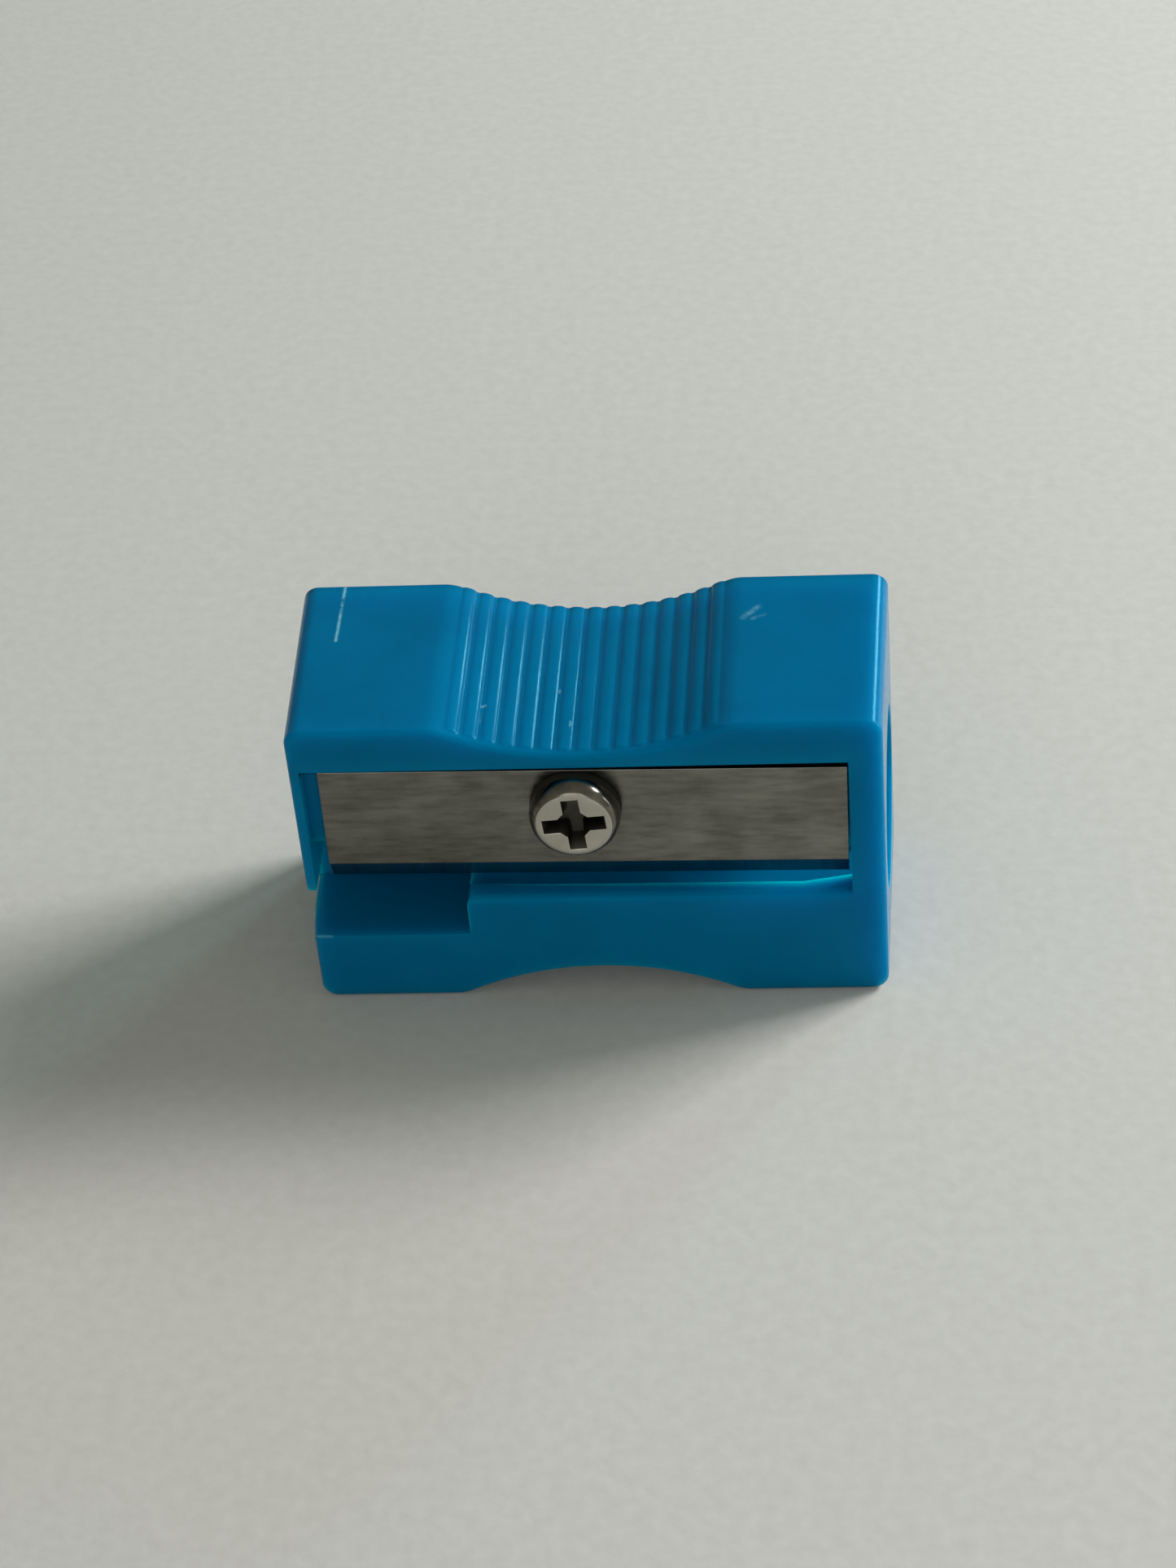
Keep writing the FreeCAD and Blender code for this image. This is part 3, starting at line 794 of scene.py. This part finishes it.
flash_low = POCKET_FLOOR_Z - FLASH_THICKNESS
flash_high = POCKET_FLOOR_Z + SPARE
flash = skinned("flash", [
    [(x, y, flash_low), (FLASH_ROOT_X, y, flash_low), (FLASH_ROOT_X, y, flash_high), (x, y, flash_high)]
    for y, x in FLASH_EDGE])
back_fin_corners = [
    (FLASH_ROOT_X, POCKET_BACK_Y - SPARE, flash_low),
    (FLASH_REACH_X, POCKET_BACK_Y - SPARE, flash_low),
    (FLASH_REACH_X, POCKET_BACK_Y + FLASH_THICKNESS / 2, flash_low),
    (FLASH_ROOT_X, POCKET_BACK_Y + FLASH_THICKNESS, flash_low),
]
back_fin = prism("back_fin", back_fin_corners, (0, 0, RAIL_END_Z - flash_low))
combine(body, [flash, back_fin], "UNION")
cutters.append(skinned("cut_flash_round", [
    [(u, y, v) for u, v in edge_round(x, POCKET_FLOOR_Z, FLASH_EDGE_RADIUS)] for y, x in FLASH_EDGE]))
combine(body, cutters)
print("cut block has", len(body.data.polygons), "faces")

# %% [markdown]
# ## Soft rims
#
# No moulded edge is perfectly sharp, and a thin bright line along a rim is what makes it look real. The
# sharp edges in the front face below the blade and in the two ends get a small bevel. A Bevel modifier
# would take every sharp edge by its angle, and a bmesh bevel takes just these. Nearly flat neighbours are
# merged before it. Which ones merge depends on their order, so points, edges and faces are sorted first,
# and every run gives the same shape. Weighted normals then keep the large flats flat, although everything
# is shaded smooth.

# %% Rims
RIM_BEVEL = 0.07
BEVEL_STEPS = 2
SHARP_ANGLE = math.radians(50)
FLAT_ANGLE = math.radians(0.05)
SAME_SPOT = 0.0002 * MM
ON_FRONT = 0.001 * MM
ON_LEANING_END = 0.002 * MM


def in_lower_front(vert):
    """On the front face, below the blade."""
    return abs(vert.co.y - FRONT_Y * MM) < ON_FRONT and vert.co.z < SLOT_TOP_Z * MM


def in_end(vert):
    """On one of the two leaning ends."""
    lean = END_DRAFT * (vert.co.y / MM - FRONT_Y) / (BACK_Y - FRONT_Y)
    return abs(abs(vert.co.x) - (HALF_LENGTH + lean) * MM) < ON_LEANING_END


def on_outer_face(edge):
    """An edge in the front face below the blade, or in one of the two ends."""
    return all(in_lower_front(vert) for vert in edge.verts) or all(in_end(vert) for vert in edge.verts)


def put_in_order(elements, key):
    """Sort points, edges or faces, because a Boolean can leave them in another order each time."""
    rank = {element: place for place, element in enumerate(sorted(elements, key=key))}
    elements.sort(key=rank.get)
    elements.index_update()


def point_numbers(element):
    """Sorted numbers of an edge's or a face's points."""
    return sorted(vert.index for vert in element.verts)


def soften(made, chosen, width, sharp=SHARP_ANGLE):
    """Bevel the sharp edges that chosen names, and shade the piece smooth between sharp edges."""
    bm = bmesh.new()
    bm.from_mesh(made.data)
    put_in_order(bm.verts, lambda vert: vert.co[:])
    put_in_order(bm.edges, point_numbers)
    put_in_order(bm.faces, point_numbers)
    bmesh.ops.remove_doubles(bm, verts=bm.verts, dist=SAME_SPOT)
    bmesh.ops.dissolve_limit(bm, angle_limit=FLAT_ANGLE, verts=bm.verts, edges=bm.edges)
    picked = [edge for edge in bm.edges
              if len(edge.link_faces) == 2 and edge.calc_face_angle() > sharp and chosen(edge)]
    bmesh.ops.bevel(bm, geom=picked, offset=width * MM, offset_type="OFFSET", segments=BEVEL_STEPS,
                    profile=0.5, affect="EDGES", clamp_overlap=True)
    bm.to_mesh(made.data)
    bm.free()
    made.data.shade_smooth()
    made.data.set_sharp_from_angle(angle=sharp)
    weighted = made.modifiers.new("flat_faces_stay_flat", "WEIGHTED_NORMAL")
    weighted.keep_sharp = True
    return len(picked)


print("softened", soften(body, on_outer_face, RIM_BEVEL), "edges of the block")
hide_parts("sharpener_body")
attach(body, "body")

# %% [markdown]
# ## The blade
#
# The blade is a pressed steel strip with one hole and a ground edge. It could be a flat box with its edge
# cut away, but its section says it all: the section is extruded along the length, the hole is cut, and
# the strip is turned by the little that its seat allows. Only the ground face gets the smoother steel, so
# the faces are told apart by which way they point.

# %% Blade
BLADE_THICKNESS = 0.5
BLADE_LEFT = -10.83
BLADE_RIGHT = 11.47
BLADE_BOTTOM = -4.13
BLADE_TOP = 1.97
GROUND_WIDTH = 1.05
BLADE_HOLE_RADIUS = 1.1
BLADE_SKEW = math.radians(0.6)
BLADE_EDGE_BEVEL = 0.02
BLADE_SHARP_ANGLE = math.radians(12)

blade_section = [
    (BLADE_LEFT, 0, BLADE_BOTTOM),
    (BLADE_LEFT, 0, BLADE_TOP),
    (BLADE_LEFT, -BLADE_THICKNESS, BLADE_TOP),
    (BLADE_LEFT, -BLADE_THICKNESS, BLADE_BOTTOM + GROUND_WIDTH),
]
blade = prism("blade_strip", blade_section, (BLADE_RIGHT - BLADE_LEFT, 0, 0))
blade_hole = [(-2 * BLADE_THICKNESS, BLADE_HOLE_RADIUS), (BLADE_THICKNESS, BLADE_HOLE_RADIUS)]
combine(blade, [turned("cut_blade_hole", blade_hole, (0, 0, 0), (0, 1, 0), HOLE_STEPS)])
on_seat = Matrix.Translation(Vector((SCREW_X, SEAT_Y, SCREW_Z)) * MM)
blade.data.transform(on_seat @ Matrix.Rotation(BLADE_SKEW, 4, "Y"))
softened = soften(blade, lambda edge: True, BLADE_EDGE_BEVEL, BLADE_SHARP_ANGLE)
print("softened", softened, "edges of the blade")


# %% Blade finish
def give_materials(made, *materials):
    """Fill a piece's material slots, from slot 0 on."""
    made.data.materials.clear()
    for material in materials:
        made.data.materials.append(material)


ROLLED_SLOT = 0
GROUND_SLOT = 1
OUTWARD_BELOW = -0.5
DOWNWARD_BELOW = -0.2

give_materials(blade, rolled_steel, ground_steel)
for face in blade.data.polygons:
    is_ground = face.normal.y < OUTWARD_BELOW and face.normal.z < DOWNWARD_BELOW
    face.material_index = GROUND_SLOT if is_ground else ROLLED_SLOT
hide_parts("blade")
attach(blade, "blade")
print("blade has", len(blade.data.materials), "finishes")

# %% [markdown]
# ## The screw
#
# A pan head with a cross recess holds the blade. The head and shaft are one turned profile. The recess
# tapers inwards, with slanting corners in the middle for the driver's tip. It could be two crossed bars,
# but a cross that shrinks as it goes in is one clean cutter.

# %% Screw head and shaft
HEAD_BASE_Y = -4.4149
HEAD_HEIGHT = 1.25
# radius and height of the head's profile, from the edge of its face down to its foot
HEAD_PROFILE = [
    (1.44, 1.25), (1.52, 1.248), (1.62, 1.23), (1.71, 1.18), (1.79, 1.08), (1.86, 0.95), (1.91, 0.80),
    (1.94, 0.64), (1.95, 0.50), (1.95, 0.10), (1.93, 0.03), (1.88, 0.0),
]
HEAD_STEPS = 96
SHAFT_ROOT_RADIUS = 0.78
SHAFT_LENGTH = 5.5
SHAFT_TIP_RADIUS = 0.35
SHAFT_POINT = 0.9

screw_profile = [(-height, radius) for radius, height in HEAD_PROFILE]
screw_profile.append((0.0, SHAFT_ROOT_RADIUS))
screw_profile.append((SHAFT_LENGTH - SHAFT_POINT, SHAFT_ROOT_RADIUS))
screw_profile.append((SHAFT_LENGTH, SHAFT_TIP_RADIUS))
screw = turned("screw_head", screw_profile, (SCREW_X, HEAD_BASE_Y, SCREW_Z), (0, 1, 0), HEAD_STEPS)
print("screw has", len(screw.data.polygons), "faces before the recess")

# %% Cross recess
CROSS_TURN = math.radians(5.0)
CROSS_DEPTH = 0.85
CROSS_BEVEL = 0.03
ON_FACE = 0.001 * MM
# depth below the face, reach of the arms, half their width, and where the slanting corners start
CROSS_SECTIONS = (
    (-0.3, 1.38, 0.38, 0.70),
    (0.0, 1.34, 0.36, 0.64),
    (CROSS_DEPTH, 1.02, 0.27, 0.38),
)
face_y = HEAD_BASE_Y - HEAD_HEIGHT


def cross_section(depth, reach, half_width, corner):
    """Outline of a cross at a depth below the screw's face, with its inner corners cut off at a slant."""
    quarter = [(reach, -half_width), (reach, half_width), (corner, half_width), (half_width, corner)]
    found = []
    for turn in range(4):
        cosine = math.cos(turn * QUARTER + CROSS_TURN)
        sine = math.sin(turn * QUARTER + CROSS_TURN)
        for x, z in quarter:
            turned_x = x * cosine - z * sine
            turned_z = x * sine + z * cosine
            found.append((SCREW_X + turned_x, face_y + depth, SCREW_Z + turned_z))
    return found


def on_screw_face(edge):
    """An edge in the flat of the head's face."""
    return all(abs(vert.co.y - face_y * MM) < ON_FACE for vert in edge.verts)


combine(screw, [skinned("cut_cross", [cross_section(*values) for values in CROSS_SECTIONS])])
print("softened", soften(screw, on_screw_face, CROSS_BEVEL), "edges of the screw")

# %% [markdown]
# ## The screw's finish
#
# The face keeps its bright nickel. The shoulder is worn and painted darker for its dark reflections, the
# recess is dull and painted dark for its shade, and a painted shadow sits round the foot of the head. One
# material with masks could do all this, but the parts of the head meet in clear rings, so each face simply
# takes the slot of the ring that it lies in.

# %% Screw finish
WORN_SHADED_SLOT = 1
RECESS_SLOT = 2
FOOT_SHADE_SLOT = 3
BRIGHT_DEPTH = 0.04
RECESS_REACH = 1.4
FOOT_SHADE_HEIGHT = 0.48

# painted shade: the recess and the shoulder take darkened steels, and the foot a painted shadow
give_materials(screw, nickel, worn_shaded_nickel, recess_shade_steel, grime)
for face in screw.data.polygons:
    from_axis = math.hypot(face.center.x - SCREW_X * MM, face.center.z - SCREW_Z * MM)
    in_head = (face_y + BRIGHT_DEPTH) * MM < face.center.y < HEAD_BASE_Y * MM
    at_foot = face.center.y > (HEAD_BASE_Y - FOOT_SHADE_HEIGHT) * MM
    if in_head and from_axis < RECESS_REACH * MM:
        face.material_index = RECESS_SLOT
    elif in_head:
        face.material_index = FOOT_SHADE_SLOT if at_foot else WORN_SHADED_SLOT
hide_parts("blade_screw")
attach(screw, "screw")
print("screw has", len(screw.data.materials), "finishes")

# %% [markdown]
# ## The screw's thread
#
# A thread is one small section carried along a helix. The Screw modifier could wind it, but a second tree
# says it in a few nodes: a spiral curve, a diamond for its section, and Curve to Mesh. The spiral node
# winds up the Z axis, so the tree turns it to point into the block and moves it to the screw.

# %% Thread tree
THREAD_PITCH = 0.8
THREAD_TURNS = 5.0
THREAD_START_Y = 0.35
THREAD_SECTION = 0.2
THREAD_STEPS = 40
DIAMOND_CORNERS = 4

thread_tree, given, thread_inputs = begin_tree("screw_thread", (
    "Pitch", "Turns", "Root Radius", "Section"))
helix = add_node(thread_tree, "GeometryNodeCurveSpiral", {
    "Resolution": THREAD_STEPS,
    "Rotations": given["Turns"],
    "Start Radius": given["Root Radius"],
    "End Radius": given["Root Radius"],
    "Height": maths(thread_tree, "MULTIPLY", given["Turns"], given["Pitch"]),
})
upright = add_node(thread_tree, "GeometryNodeSetCurveNormal", {"Curve": helix.outputs[0]}, mode="Z_UP")
diamond = add_node(thread_tree, "GeometryNodeCurvePrimitiveCircle", {
    "Resolution": DIAMOND_CORNERS, "Radius": given["Section"]})
swept = add_node(thread_tree, "GeometryNodeCurveToMesh", {
    "Curve": upright.outputs[0], "Profile Curve": diamond.outputs[0], "Fill Caps": True})
placed = add_node(thread_tree, "GeometryNodeTransform", {
    "Geometry": swept.outputs[0], "Rotation": (-QUARTER, 0, 0),
    "Translation": Vector((SCREW_X, HEAD_BASE_Y + THREAD_START_Y, SCREW_Z)) * MM})
end_tree(thread_tree, placed.outputs[0], given["Material"])
print("thread tree has", len(thread_tree.nodes), "nodes")

# %% Thread
thread = bpy.data.objects.new("screw_thread", bpy.data.meshes.new("screw_thread"))
bpy.context.scene.collection.objects.link(thread)
run_tree(thread, thread_tree, thread_inputs, {
    "Pitch": THREAD_PITCH * MM,
    "Turns": THREAD_TURNS,
    "Root Radius": SHAFT_ROOT_RADIUS * MM,
    "Section": THREAD_SECTION * MM,
    "Material": nickel,
})
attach(thread, "screw")
print("thread has", len(thread.data.polygons), "faces")

# %% [markdown]
# ## The floor
#
# The block stands on pale matt paper. One large square is enough for it, because the paper's fibres are
# far finer than any mesh: they are a noise in its colour and its bump.

# %% Floor
FLOOR_SIZE = 4.0
PAPER_DARK = (0.484, 0.478, 0.454, 1)
PAPER_LIGHT = (0.524, 0.518, 0.494, 1)
PAPER_ROUGHNESS = 0.9
FIBRE_SCALE = 1500.0

bm = bmesh.new()
bmesh.ops.create_grid(bm, x_segments=1, y_segments=1, size=FLOOR_SIZE / 2)
floor = object_from(bm, "paper_floor")
paper, tree, shader = new_material("paper")
fibres = noise(tree, object_place(tree), FIBRE_SCALE, detail=5.0)
pale = ramp_between(tree, fibres, PAPER_DARK, PAPER_LIGHT, low_at=0.3, high_at=0.7)
tree.links.new(pale, shader.inputs["Base Color"])
shader.inputs["Roughness"].default_value = PAPER_ROUGHNESS
relief(tree, shader, fibres, strength=0.3, distance=0.05 * MM)
floor.data.materials.append(paper)
print("floor is", FLOOR_SIZE, "m wide")


# %% [markdown]
# ## The light
#
# The object stands in a room with a window to the right and behind, which puts a soft shadow to the left.
# One lamp could do, but the slot and the ribs would stay dull. So a lower lamp on the right reaches into
# the slot, a small one at the back draws a bright line along each rib, and a wide one in front stands for
# the room. The sky is brighter in front than at the back, because metal shows what lies before it.

# %% Light
SKY_COLOUR = (0.96, 1.0, 0.87, 1)
SKY_FRONT = 0.42
SKY_BACK = 0.12


def soft_lamp(name, direction, distance, size, power, colour):
    """Square lamp that faces the object from a direction."""
    data = bpy.data.lights.new(name, "AREA")
    data.size = size
    data.energy = power
    data.color = colour
    lamp = bpy.data.objects.new(name, data)
    towards = Vector(direction).normalized()
    facing = towards.to_track_quat("Z", "Y").to_matrix().to_4x4()
    lamp.matrix_world = Matrix.Translation(LOOK_AT + towards * distance) @ facing
    bpy.context.scene.collection.objects.link(lamp)
    print("lamp", name, power, "W")


soft_lamp("window", direction=(0.80, 0.42, 0.62), distance=0.45, size=0.16, power=2.15,
          colour=(1.0, 0.975, 0.97))
soft_lamp("low_window", direction=(0.95, 0.20, 0.18), distance=0.45, size=0.16, power=0.75,
          colour=(0.9, 1.0, 1.0))
soft_lamp("back_window", direction=(0.54, 0.77, 0.35), distance=0.45, size=0.07, power=0.32,
          colour=(0.4, 0.95, 1.0))
soft_lamp("room_light", direction=(-0.05, -1.0, 0.40), distance=0.60, size=0.40, power=0.85,
          colour=(0.97, 1.0, 0.98))

world = bpy.data.worlds.new("grey_sky")
world.use_nodes = True
tree = world.node_tree
sky = tree.nodes["Background"]
sky.inputs["Color"].default_value = SKY_COLOUR
facing_out = add_node(tree, "ShaderNodeTexCoord").outputs["Generated"]
to_the_back = add_node(tree, "ShaderNodeSeparateXYZ", {0: facing_out}).outputs["Y"]
sky_level = range_between(tree, share_of(tree, to_the_back, -1.0, 1.0), SKY_FRONT, SKY_BACK)
tree.links.new(sky_level, sky.inputs["Strength"])
bpy.context.scene.world = world
bpy.context.scene.view_settings.view_transform = "Standard"
